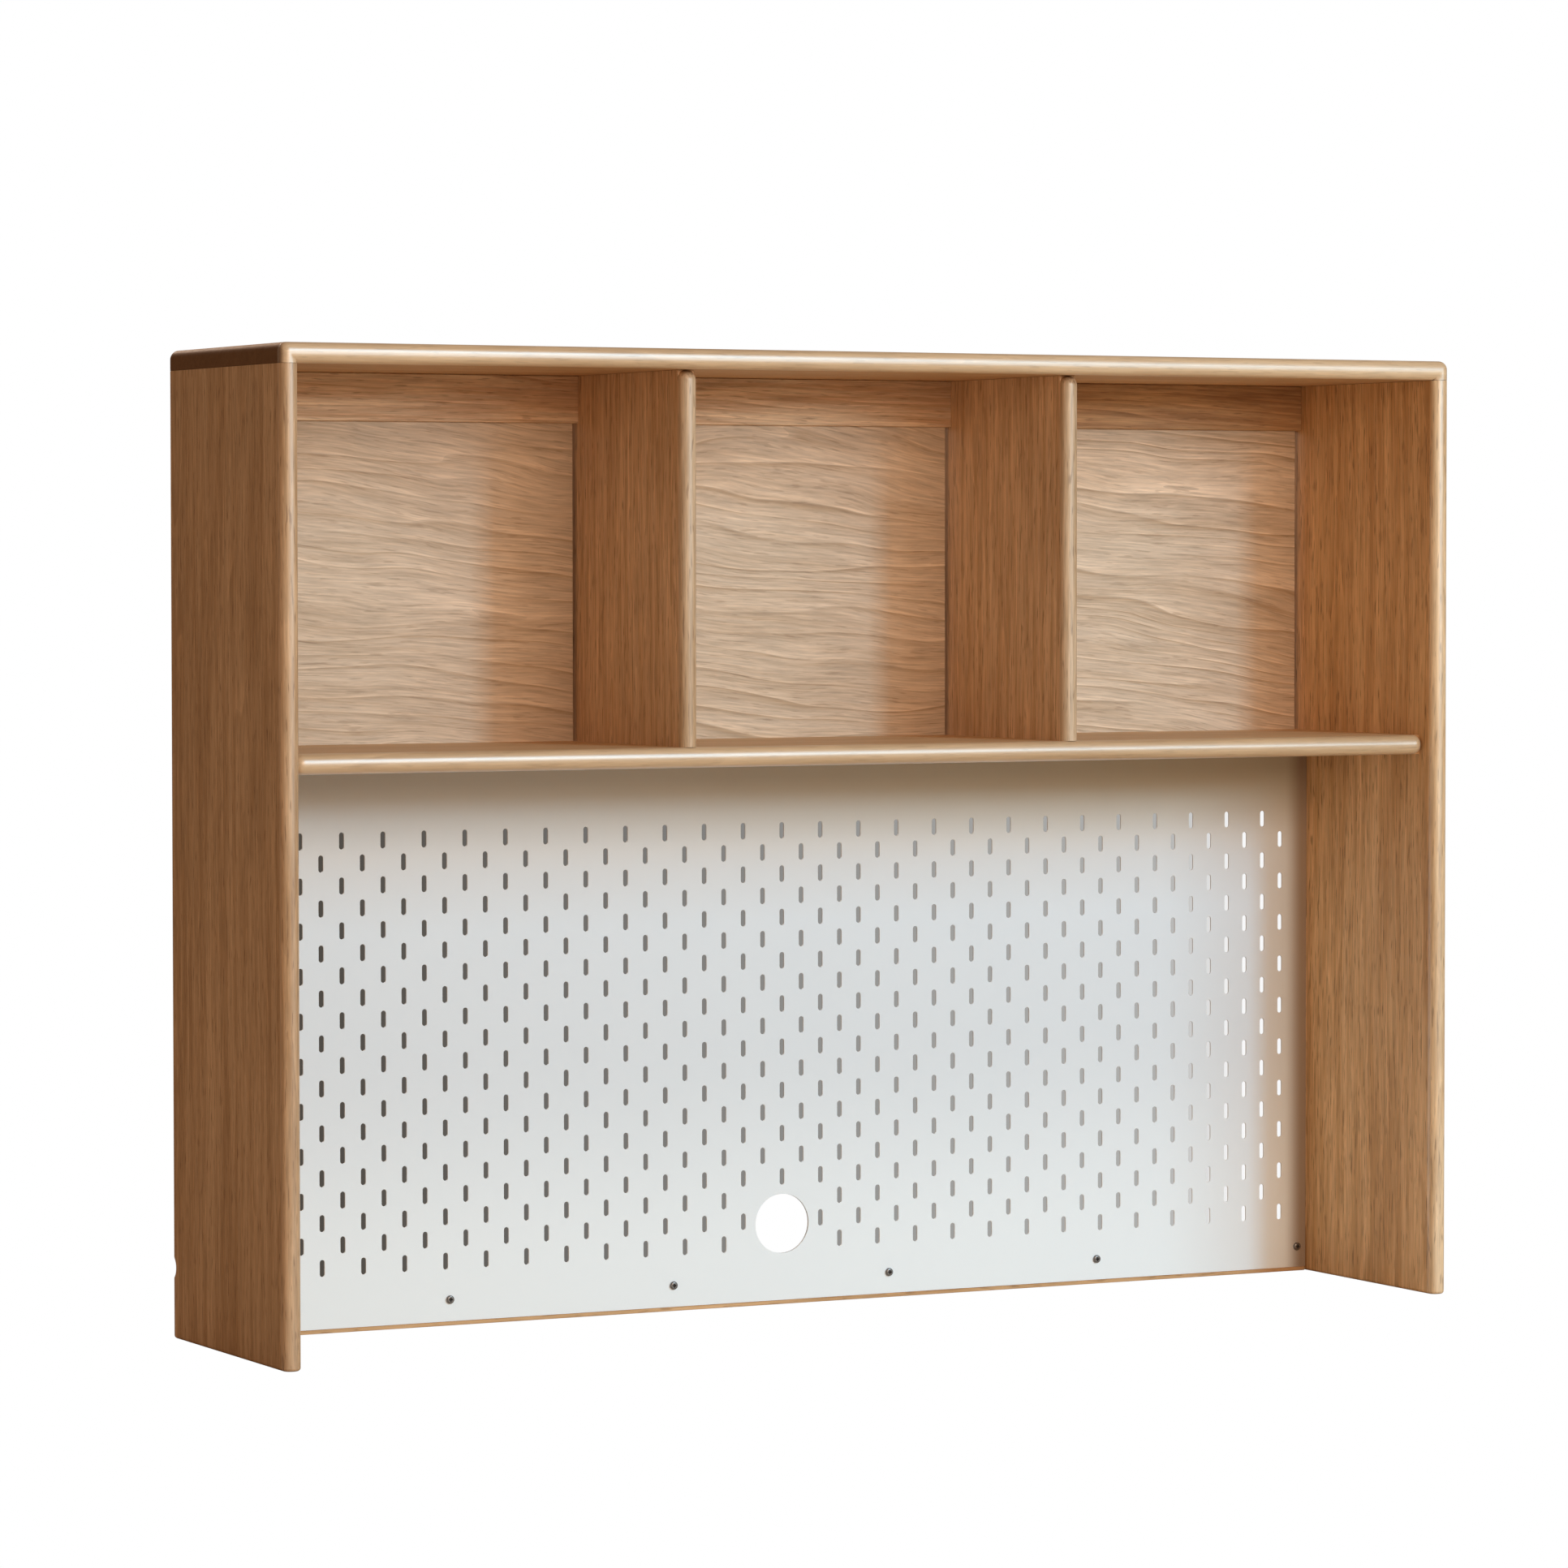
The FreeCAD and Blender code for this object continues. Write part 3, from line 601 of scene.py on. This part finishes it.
# Painted light: the left and centre rail tones are lightened against the shade under the top; the right
# rail's is darker and redder.
lightened_rail = ((0.93, 0.71, 0.49), (0.60, 0.375, 0.22))
darker_red_rail = ((0.66, 0.41, 0.21), (0.38, 0.20, 0.09))
rail_tones = (lightened_rail, lightened_rail, darker_red_rail)
rail_pores = (0.20, 0.10, 0.05)
for number, bay in enumerate(bay_names):
    name = bay + "_back_rail"
    low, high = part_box(name)
    pale, dark = rail_tones[number]
    material = wood(
        bay + " back rail wood", ALONG_X, ALONG_Z, pale, dark, rail_pores,
        (2.7 + 3.1 * number, 1.9, 6.5 + number), wander=0.016, line_spacing=0.011, line_strength=0.8,
        streak_strength=0.9, fibre_strength=0.9, pore_strength=0.4, lean=0.02,
    )
    settle(mesh_of(eased_block(low, high), name), "carrel_" + name, material, name)


# ---------------------------------------------------------------------------------------------------------
# The back panels: a pale flat-sawn panel in each bay, with the grain lying across and falling gently to the
# right. A tongue along the head and the foot sits in grooves in the rail and the shelf, so each panel is
# held without glue, with a thin gap at either side.

tongue_length = 6 * MM
tongue_thickness = 5 * MM
panel_ease = 0.6 * MM
panel_pale = (0.73, 0.585, 0.45)
panel_dark = (0.46, 0.325, 0.21)
panel_pores = (0.26, 0.165, 0.10)


def tongued_panel(low, high):
    """A panel whose head and foot are rebated to a tongue, as a bmesh."""
    middle = (low.y + high.y) / 2
    tongue = (middle - tongue_thickness / 2, middle + tongue_thickness / 2)
    foot, head = low.z + tongue_length, high.z - tongue_length
    outline = (
        (low.y, foot), (tongue[0], foot), (tongue[0], low.z), (tongue[1], low.z), (tongue[1], foot),
        (high.y, foot), (high.y, head), (tongue[1], head), (tongue[1], high.z), (tongue[0], high.z),
        (tongue[0], head), (low.y, head),
    )
    form = bmesh.new()
    face = form.faces.new([form.verts.new((low.x, y, z)) for y, z in outline])
    grown = bmesh.ops.extrude_face_region(form, geom=[face])
    moved = [item for item in grown["geom"] if isinstance(item, bmesh.types.BMVert)]
    bmesh.ops.translate(form, verts=moved, vec=(high.x - low.x, 0, 0))
    for x in (low.x, high.x):
        front_arris = edges_where(form, lambda p: near(p.x, x) and near(p.y, low.y))
        round_over(form, front_arris, panel_ease, arris_steps)
    return form


for number, bay in enumerate(bay_names):
    name = bay + "_back_panel"
    low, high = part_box(name)
    material = wood(
        bay + " back panel wood", ALONG_X, ALONG_Z, panel_pale, panel_dark, panel_pores,
        (4.1 + 2.3 * number, 0.7, 3.3 + 1.7 * number), wander=0.09,
        line_spacing=0.018 - 0.001 * number, line_strength=0.75 + 0.15 * number, streak_strength=0.45,
        fibre_strength=1.0, pore_strength=0.3, lean=0.10,
    )
    settle(mesh_of(tongued_panel(low, high), name), "carrel_" + name, material, name)


# ---------------------------------------------------------------------------------------------------------
# The battens behind the pegboard: one on the desk and one under the shelf, cammed and dowelled to the sides.
# The pegboard lies flat against both, and the foot batten takes its screws.

for number, name in enumerate(("foot_batten", "shelf_batten")):
    low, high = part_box(name)
    material = wood(
        name.replace("_", " ") + " wood", ALONG_X, ALONG_Z, case_pale, case_dark, case_pores,
        (6.6 + 2.9 * number, 5.8, 2.1), wander=0.014, line_spacing=0.016, line_strength=0.6,
        streak_strength=0.6, pore_strength=0.45,
    )
    settle(mesh_of(eased_block(low, high), name), "carrel_" + name, material, name)


# ---------------------------------------------------------------------------------------------------------
# The pegboard: one sheet of 1.5 mm steel, blanked with staggered upright slots, a round cable hole and six
# screw holes, then powder coated white, which softens every rim. Its head is tucked into the shelf.

sheet_low, sheet_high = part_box("pegboard")
shelf_batten_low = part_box("shelf_batten")[0]
foot_batten_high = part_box("foot_batten")[1]
screws_low, screws_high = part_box("pegboard_screws")
slot_pitch = 20 * MM
slot_length = 15.2 * MM
slot_width = 4.6 * MM
slot_head_gap = 11.4 * MM
slot_foot_gap = 5 * MM
slot_edge_margin = 25 * MM
slot_end_steps = 8
hole_steps = 72
screw_hole_steps = 20
# Spans of the painted light on the coat's front face: paler foot, warm shade at the head, brown shade at the
# right end.
painted_foot_light_from, painted_foot_light_to = 40 * MM, 250 * MM
painted_head_shade_below, painted_head_shade_above = 60 * MM, 30 * MM
painted_end_shade_from, painted_end_shade_to = 26 * MM, 5 * MM
hole_radius = 27.5 * MM
hole_rise = 3.5 * MM
hole_land = 10 * MM
screw_count = 6
screw_end_inset = 10.5 * MM
screw_hole_radius = 2.2 * MM
rim_round = 0.3 * MM

hole_height = foot_batten_high.z + hole_rise + hole_radius
screw_height = (screws_low.z + screws_high.z) / 2


def slot_centres():
    """Even columns on even rows and odd columns on odd rows, clear of the cable hole."""
    top_row = shelf_batten_low.z - slot_head_gap - slot_length / 2
    lowest = foot_batten_high.z + slot_foot_gap + slot_length / 2
    columns = int((inner_half - slot_edge_margin) / slot_pitch)
    rows = int((top_row - lowest) / slot_pitch) + 1
    for row in range(rows):
        z = top_row - row * slot_pitch
        for column in range(-columns, columns + 1):
            x = column * slot_pitch
            if (row + column) % 2 == 0 and math.hypot(x, z - hole_height) > hole_radius + hole_land:
                yield x, z


def round_outline(x, z, radius, steps):
    """A round hole, as one closed loop."""
    turns = [2 * math.pi * step / steps for step in range(steps)]
    return [(x + radius * math.cos(turn), z + radius * math.sin(turn)) for turn in turns]


def slot_outline(x, z):
    """A slot with round ends, as one closed loop."""
    radius = slot_width / 2
    rise = slot_length / 2 - radius
    points = []
    for sign in (1, -1):
        for step in range(slot_end_steps + 1):
            turn = math.pi * step / slot_end_steps
            points.append((x + sign * radius * math.cos(turn), z + sign * (rise + radius * math.sin(turn))))
    return points


def punched_sheet():
    """The blanked sheet as a filled curve, whose bevel is the soft rim that the coating leaves."""
    sheet = bpy.data.curves.new("pegboard", "CURVE")
    sheet.dimensions = "2D"
    sheet.fill_mode = "BOTH"
    sheet.extrude = (sheet_high.y - sheet_low.y) / 2 - rim_round
    sheet.bevel_depth = rim_round
    sheet.bevel_resolution = 1
    sheet.offset = -rim_round
    corners = [
        (sheet_low.x, sheet_low.z), (sheet_high.x, sheet_low.z),
        (sheet_high.x, sheet_high.z), (sheet_low.x, sheet_high.z),
    ]
    loops = [corners] + [slot_outline(x, z) for x, z in slot_centres()]
    loops.append(round_outline(0, hole_height, hole_radius, hole_steps))
    spacing = 2 * (inner_half - screw_end_inset) / (screw_count - 1)
    for number in range(screw_count):
        x = (number - (screw_count - 1) / 2) * spacing
        loops.append(round_outline(x, screw_height, screw_hole_radius, screw_hole_steps))
    for loop in loops:
        spline = sheet.splines.new("POLY")
        spline.points.add(len(loop) - 1)
        for point, (x, z) in zip(spline.points, loop):
            point.co = (x, z, 0, 1)
        spline.use_cyclic_u = True
    flat = add_object("pegboard blank", sheet)
    bpy.context.view_layer.update()
    mesh = bpy.data.meshes.new_from_object(flat.evaluated_get(bpy.context.evaluated_depsgraph_get()))
    bpy.data.objects.remove(flat)
    form = bmesh.new()
    form.from_mesh(mesh)
    bmesh.ops.rotate(form, verts=form.verts, matrix=Euler((math.radians(90), 0, 0)).to_matrix())
    bmesh.ops.translate(form, verts=form.verts, vec=(0, (sheet_low.y + sheet_high.y) / 2, 0))
    bmesh.ops.remove_doubles(form, verts=form.verts, dist=same_place)
    return form


def turned_forward(tree):
    """How far a face looks to the front, from 0 to 1."""
    facing = tree.nodes.new("ShaderNodeNewGeometry").outputs["Normal"]
    return math_node(tree, "MULTIPLY", vector_node(tree, "DOT_PRODUCT", facing, ALONG_Y), -1.0)


def powder_coat():
    """White polyester powder coat: satin, with a fine orange peel and a barely uneven tone. Its front face
    has painted
    light: painted paler at the foot, a painted warm shade and reflection of the shelf at the head, and a
    painted brown shade and reflection of the right side at the right end."""
    material, tree = new_tree("white powder coat", "material")
    place = own_place(tree)
    peel = noise(tree, place, 750.0)
    cloud = noise(tree, place, 6.0)
    colour = mix_colour(tree, cloud, (0.725, 0.785, 0.85, 1.0), (0.755, 0.81, 0.875, 1.0))
    across = level_on(tree, place, "X")
    height = level_on(tree, place, "Z")
    front_face = ramp(tree, turned_forward(tree), 0.5, 0.9)
    # Painted light: the foot is painted paler.
    foot = math_node(tree, "SUBTRACT", 1.0, ramp(tree, height, painted_foot_light_from, painted_foot_light_to))
    colour = mix_colour(tree, foot, colour, (0.87, 0.94, 1.0, 1.0))
    # Painted shade and reflection of the shelf: a warm tint along the head, stronger to the right.
    under_shelf = shelf_batten_low.z
    head = ramp(tree, height, under_shelf - painted_head_shade_below, under_shelf + painted_head_shade_above)
    head = math_node(tree, "MULTIPLY", head, ramp(tree, across, -1.4 * inner_half, inner_half))
    head = math_node(tree, "MULTIPLY", head, front_face)
    colour = mix_colour(tree, head, colour, (0.60, 0.56, 0.46, 1.0))
    # Painted shade and reflection of the right side: a brown tint at the right end.
    painted_right_shade = ramp(tree, across, inner_half - painted_end_shade_from, inner_half - painted_end_shade_to)
    painted_right_shade = math_node(tree, "MULTIPLY", painted_right_shade, front_face)
    colour = mix_colour(tree, painted_right_shade, colour, (0.36, 0.27, 0.20, 1.0))
    gloss = math_node(tree, "MULTIPLY_ADD", peel, 0.12, 0.42)
    bump = node(tree, "ShaderNodeBump", Strength=0.12, Distance=0.0002, Height=peel)
    paint(tree, Base_Color=colour, Roughness=gloss, Normal=bump.outputs["Normal"])
    return material


sheet_mesh = mesh_of(punched_sheet(), "pegboard")
settle(sheet_mesh, "carrel_pegboard", powder_coat(), "pegboard")


# ---------------------------------------------------------------------------------------------------------
# The fittings: nickel-plated pan screws along the pegboard's foot, and the knock-down hardware that joins the
# boards, which is beech dowels, zinc cams, bolts and screws, brass foot inserts and plastic cam covers.


def fitting(name, pale, dark, metallic, roughness, scale):
    """A turned or moulded fitting's finish: slightly uneven, with fine scuffs."""
    material, tree = new_tree(name, "material")
    place = own_place(tree)
    uneven = noise(tree, place, scale, 3.0, 0.6)
    scuffs = noise(tree, place, scale * 5.0, 2.0, 0.6)
    colour = mix_colour(tree, ramp(tree, uneven, 0.3, 0.7), (*pale, 1.0), (*dark, 1.0))
    gloss = math_node(tree, "MULTIPLY_ADD", scuffs, 0.25, roughness - 0.12)
    bump = node(tree, "ShaderNodeBump", Strength=0.2, Distance=0.0001, Height=scuffs)
    paint(tree, Base_Color=colour, Roughness=gloss, Normal=bump.outputs["Normal"], Metallic=metallic)
    return material


def finish_nodes(material, names):
    """Gives carried-over CAD nodes their material."""
    for name in names:
        nodes[name].data.materials.clear()
        nodes[name].data.materials.append(material)


recess_shade_from, recess_shade_to = 0.15 * MM, 0.4 * MM


def nickel_screw():
    """Nickel plate with painted shade in the recess, whose floor lies behind the head's crown and is painted
    near black.
    """
    material, tree = new_tree("nickel screw", "material")
    place = own_place(tree)
    scuffs = noise(tree, place, 1400.0, 3.0, 0.6)
    crown = screws_low.y
    sunk = ramp(tree, level_on(tree, place, "Y"), crown + recess_shade_from, crown + recess_shade_to)
    # Painted shade: the forward-facing recess floor is painted near black and not metallic.
    painted_recess_shade = math_node(tree, "MULTIPLY", sunk, ramp(tree, turned_forward(tree), 0.8, 0.95))
    plate = mix_colour(tree, scuffs, (0.30, 0.29, 0.29, 1.0), (0.20, 0.19, 0.19, 1.0))
    paint(
        tree, Base_Color=mix_colour(tree, painted_recess_shade, plate, (0.02, 0.012, 0.01, 1.0)),
        Metallic=math_node(tree, "MULTIPLY_ADD", painted_recess_shade, -0.9, 0.9),
        Roughness=math_node(tree, "MULTIPLY_ADD", painted_recess_shade, 0.4, 0.34),
    )
    return material


finish_nodes(nickel_screw(), ["pegboard_screws"])
finish_nodes(
    fitting("beech dowel", (0.62, 0.43, 0.26), (0.50, 0.33, 0.19), 0.0, 0.65, 400.0),
    ["top_dowels", "back_rail_dowels", "shelf_dowels", "batten_dowels", "divider_foot_dowels"],
)
finish_nodes(
    fitting("bright zinc", (0.62, 0.63, 0.64), (0.45, 0.46, 0.47), 1.0, 0.35, 700.0),
    ["shelf_cam_bolts", "shelf_cams", "batten_cam_bolts", "batten_cams", "divider_screws"],
)
finish_nodes(
    fitting("insert brass", (0.72, 0.55, 0.27), (0.55, 0.40, 0.17), 1.0, 0.35, 700.0),
    ["foot_inserts"],
)
finish_nodes(
    fitting("cam cover plastic", (0.52, 0.33, 0.18), (0.46, 0.28, 0.15), 0.0, 0.5, 500.0),
    ["cam_caps"],
)


# ---------------------------------------------------------------------------------------------------------
# The studio: a floor and a surround that look plain white, though the floor gives back a warm light, and a
# painted strip of shade behind the slots: a card that only the camera sees, glowing dark on the left and
# white at the right end. The key light is cool and narrow, at the front right, with a low one for the round
# edges, a warm fill in front and one behind. The camera stands to the front left.

floor_reach = 40.0
floor_steps = 96
white = (1.0, 1.0, 1.0, 1.0)


def mix_shaders(tree, share, first, second):
    """The first shader, given over to the second by share."""
    blend = tree.nodes.new("ShaderNodeMixShader")
    for index, shader in enumerate((share, first, second)):
        tree.links.new(shader, blend.inputs[index])
    return blend.outputs[0]


def camera_rays(tree):
    """1 for what the camera sees directly, and 0 for light on its way round."""
    return tree.nodes.new("ShaderNodeLightPath").outputs["Is Camera Ray"]


def seen_from_behind(tree):
    """1 where a face shows its rear."""
    return tree.nodes.new("ShaderNodeNewGeometry").outputs["Backfacing"]


form = bmesh.new()
bmesh.ops.create_circle(form, cap_ends=True, segments=floor_steps, radius=floor_reach)
floor = add_object("studio_floor", mesh_of(form, "studio_floor"))
material, tree = new_tree("studio floor paint", "material")
cloud = noise(tree, own_place(tree), 1.5)
warm_floor = node(
    tree, "ShaderNodeBsdfPrincipled", Roughness=0.8,
    Base_Color=mix_colour(tree, cloud, (0.58, 0.46, 0.33, 1.0), (0.61, 0.49, 0.36, 1.0)),
)
glow = node(tree, "ShaderNodeEmission", Color=white, Strength=1.0)
clear = tree.nodes.new("ShaderNodeBsdfTransparent")
looked_at = camera_rays(tree)
upper = mix_shaders(tree, looked_at, warm_floor.outputs["BSDF"], glow.outputs[0])
from_below = math_node(tree, "MULTIPLY", seen_from_behind(tree), looked_at)
show(tree, mix_shaders(tree, from_below, upper, clear.outputs[0]))
floor.data.materials.append(material)

shade_gap = 0.5 * MM
shade_hole_steps = 48
lit_columns_from, lit_columns_to = 170 * MM, 60 * MM
shade_y = sheet_high.y + shade_gap
shade_corners = (
    (-inner_half, foot_batten_high.z), (inner_half, foot_batten_high.z),
    (inner_half, shelf_batten_low.z), (-inner_half, shelf_batten_low.z),
)
cable_hole = round_outline(0, hole_height, hole_radius, shade_hole_steps)
form = bmesh.new()
for outline in (shade_corners, cable_hole):
    loop = [form.verts.new((x, shade_y, z)) for x, z in outline]
    for first, second in zip(loop, loop[1:] + loop[:1]):
        form.edges.new((first, second))
bmesh.ops.triangle_fill(form, edges=form.edges[:], use_beauty=True, normal=(0, -1, 0))
mesh = bpy.data.meshes.new("shade_behind_slots")
form.to_mesh(mesh)
form.free()
shade = add_object("shade_behind_slots", mesh)
material, tree = new_tree("shade behind slots", "material")
# Painted shade: the card glows dark, lighter to the right, and white behind the last columns as painted
# light.
across = level_on(tree, own_place(tree), "X")
colour = mix_colour(
    tree, ramp(tree, across, -inner_half, inner_half), (0.07, 0.06, 0.05, 1.0), (0.45, 0.45, 0.44, 1.0)
)
painted_lit_columns = ramp(tree, across, inner_half - lit_columns_from, inner_half - lit_columns_to)
colour = mix_colour(tree, painted_lit_columns, colour, (0.95, 0.95, 0.95, 1.0))
painted_slot_shade = node(tree, "ShaderNodeEmission", Color=colour, Strength=1.0)
clear = tree.nodes.new("ShaderNodeBsdfTransparent")
from_front = math_node(tree, "SUBTRACT", 1.0, seen_from_behind(tree))
shown = math_node(tree, "MULTIPLY", from_front, camera_rays(tree))
show(tree, mix_shaders(tree, shown, clear.outputs[0], painted_slot_shade.outputs[0]))
shade.data.materials.append(material)

world = bpy.data.worlds.new("studio")
world.use_nodes = True
bpy.context.scene.world = world
air = world.node_tree
air.nodes.clear()
fill = node(air, "ShaderNodeBackground", Color=(1.0, 0.70, 0.49, 1.0), Strength=0.33)
surround = node(air, "ShaderNodeBackground", Color=white, Strength=1.0)
sky = mix_shaders(air, camera_rays(air), fill.outputs[0], surround.outputs[0])
air.links.new(sky, air.nodes.new("ShaderNodeOutputWorld").inputs["Surface"])


def soft_light(name, place, width, height, watts, colour):
    """A rectangular lamp that looks at the middle of the case."""
    lamp = bpy.data.lights.new(name, "AREA")
    lamp.shape = "RECTANGLE"
    lamp.size = width
    lamp.size_y = height
    lamp.energy = watts
    lamp.color = colour
    stand = add_object(name, lamp)
    stand.location = place
    towards = Vector((0, 0, case_top / 2)) - Vector(place)
    stand.rotation_euler = towards.to_track_quat("-Z", "Y").to_euler()


soft_light("key", (1.6, -4.2, 2.55), 0.45, 1.7, 76.0, (0.42, 0.77, 1.0))
soft_light("edge light", (2.2, -4.2, 1.4), 2.4, 0.5, 58.0, (0.58, 0.86, 1.0))
soft_light("front fill", (0.0, -5.2, 1.75), 2.8, 1.6, 104.0, (1.0, 0.74, 0.54))
soft_light("rear fill", (0.0, 4.6, 1.8), 0.9, 1.2, 70.0, (1.0, 0.90, 0.80))

camera_dip = math.radians(2.167)
camera_roll = math.radians(0.04)
camera_turn = math.radians(-27.374)
camera = add_object("camera", bpy.data.cameras.new("camera"))
camera.location = (-2.5401, -4.8282, 0.6907)
camera.rotation_euler = Euler((math.radians(90) - camera_dip, camera_roll, camera_turn))
camera.data.lens = 138.03
camera.data.sensor_width = 36.0
camera.data.shift_x = -0.0024
bpy.context.scene.camera = camera
bpy.context.scene.view_settings.view_transform = "Standard"
